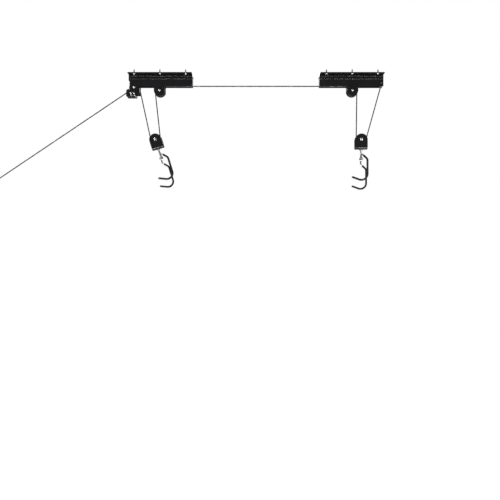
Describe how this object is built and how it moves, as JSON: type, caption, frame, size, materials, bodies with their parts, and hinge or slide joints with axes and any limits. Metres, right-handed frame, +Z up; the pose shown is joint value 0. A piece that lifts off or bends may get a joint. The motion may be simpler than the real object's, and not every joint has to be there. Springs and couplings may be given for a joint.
{
  "type": "ceiling hoist",
  "caption": "Bicycle ceiling hoist: two ceiling brackets with pulleys, one rope, a rope lock, a wall cleat, and lower pulley blocks with swivelling double hooks.",
  "frame": {"origin": "middle of the front bracket's ceiling face", "axes": "+X from the front bracket to the rear bracket, +Y away from the viewer, +Z up to the ceiling"},
  "size_m": [1.4065, 0.1576, 0.452],
  "materials": {
    "black_steel": "semi-gloss black powder coat",
    "zinc_steel": "bright zinc plate",
    "nylon": "black moulded nylon",
    "vinyl": "satin black soft vinyl",
    "rope": "black braided cord with light flecks"
  },
  "bodies": {
    "root": {"front_ceiling_plate": "black_steel", "front_channel": "black_steel", "front_ceiling_screws": "zinc_steel", "front_middle_axle": "zinc_steel", "front_middle_nut": "zinc_steel", "front_middle_bush": "zinc_steel", "end_axle": "zinc_steel", "end_nut": "zinc_steel", "end_bush": "zinc_steel", "lock_housing": "black_steel", "lock_bolts": "zinc_steel", "lock_cam_pin": "zinc_steel", "lock_guide_pin": "black_steel", "lock_lip_pin": "black_steel", "lock_rivets": "zinc_steel", "rear_ceiling_plate": "black_steel", "rear_channel": "black_steel", "rear_ceiling_screws": "zinc_steel", "rear_middle_axle": "zinc_steel", "rear_middle_nut": "zinc_steel", "rear_middle_bush": "zinc_steel", "anchor_pin": "black_steel", "anchor_knot": "rope", "rope_lock_bend": "rope", "rope_top_run": "rope", "rope_front_fall_left": "rope", "rope_front_fall_right": "rope", "rope_rear_fall_left": "rope", "rope_rear_fall_right": "rope", "pull_rope": "rope", "pull_rope_knot": "rope", "wall_cleat": "nylon", "wall_cleat_screws": "zinc_steel"},
    "end_pulley": {"end_pulley": "nylon"},
    "front_middle_pulley": {"front_middle_pulley": "nylon"},
    "rear_middle_pulley": {"rear_middle_pulley": "nylon"},
    "lock_cam": {"lock_cam": "zinc_steel"},
    "front_bight": {"front_rope_bight": "rope", "front_block_bush": "zinc_steel"},
    "front_block_pulley": {"front_block_pulley": "nylon"},
    "front_block": {"front_block_frame": "black_steel", "front_block_axle": "zinc_steel", "front_block_nut": "zinc_steel"},
    "front_hook": {"front_swivel_eye": "zinc_steel", "front_swivel_nut": "zinc_steel", "front_hook_rod": "zinc_steel", "front_hook_sleeves": "vinyl"},
    "rear_bight": {"rear_rope_bight": "rope", "rear_block_bush": "zinc_steel"},
    "rear_block_pulley": {"rear_block_pulley": "nylon"},
    "rear_block": {"rear_block_frame": "black_steel", "rear_block_axle": "zinc_steel", "rear_block_nut": "zinc_steel"},
    "rear_hook": {"rear_swivel_eye": "zinc_steel", "rear_swivel_nut": "zinc_steel", "rear_hook_rod": "zinc_steel", "rear_hook_sleeves": "vinyl"}
  },
  "joints": [
    {"name": "front_lift", "type": "slide", "parent": "root", "child": "front_bight", "axis": [0, 0, 1], "range_m": [-1.9, 0.108], "deforming": ["rope_front_fall_left", "rope_front_fall_right"]},
    {"name": "rear_lift", "type": "slide", "parent": "root", "child": "rear_bight", "axis": [0, 0, 1], "range_m": [-1.9, 0.108], "deforming": ["rope_rear_fall_left", "rope_rear_fall_right"]},
    {"name": "end_pulley_spin", "type": "hinge", "parent": "root", "child": "end_pulley", "pos_m": [-0.0915, 0, -0.045], "axis": [0, 1, 0], "continuous": true},
    {"name": "front_middle_pulley_spin", "type": "hinge", "parent": "root", "child": "front_middle_pulley", "pos_m": [-0.004, 0, -0.055], "axis": [0, 1, 0], "continuous": true},
    {"name": "rear_middle_pulley_spin", "type": "hinge", "parent": "root", "child": "rear_middle_pulley", "pos_m": [0.661, 0, -0.055], "axis": [0, 1, 0], "continuous": true},
    {"name": "lock_cam_turn", "type": "hinge", "parent": "root", "child": "lock_cam", "pos_m": [-0.1025, 0, -0.0654], "axis": [0, 1, 0], "range_deg": [-40, 0]},
    {"name": "front_block_pulley_spin", "type": "hinge", "parent": "front_bight", "child": "front_block_pulley", "pos_m": [-0.019, 0, -0.223], "axis": [0, 1, 0], "continuous": true},
    {"name": "front_block_swing", "type": "hinge", "parent": "front_bight", "child": "front_block", "pos_m": [-0.019, 0, -0.223], "axis": [0, 1, 0], "range_deg": [-28, 45]},
    {"name": "front_hook_swivel", "type": "hinge", "parent": "front_block", "child": "front_hook", "pos_m": [-0.019, 0, -0.223], "axis": [-0.2924, 0, 0.9563], "continuous": true},
    {"name": "rear_block_pulley_spin", "type": "hinge", "parent": "rear_bight", "child": "rear_block_pulley", "pos_m": [0.692, 0, -0.223], "axis": [0, 1, 0], "continuous": true},
    {"name": "rear_block_swing", "type": "hinge", "parent": "rear_bight", "child": "rear_block", "pos_m": [0.692, 0, -0.223], "axis": [0, 1, 0], "range_deg": [-35, 35]},
    {"name": "rear_hook_swivel", "type": "hinge", "parent": "rear_block", "child": "rear_hook", "pos_m": [0.692, 0, -0.223], "axis": [0, 0, 1], "continuous": true}
  ],
  "couplings": [
    {"joint": "rear_lift", "follows": "front_lift", "ratio": 1},
    {"joint": "end_pulley_spin", "follows": "front_lift", "rad_per_m": -242.42},
    {"joint": "front_middle_pulley_spin", "follows": "front_lift", "rad_per_m": -121.21},
    {"joint": "rear_middle_pulley_spin", "follows": "front_lift", "rad_per_m": -121.21},
    {"joint": "front_block_pulley_spin", "follows": "front_lift", "rad_per_m": 181.82},
    {"joint": "rear_block_pulley_spin", "follows": "front_lift", "rad_per_m": 60.606}
  ]
}
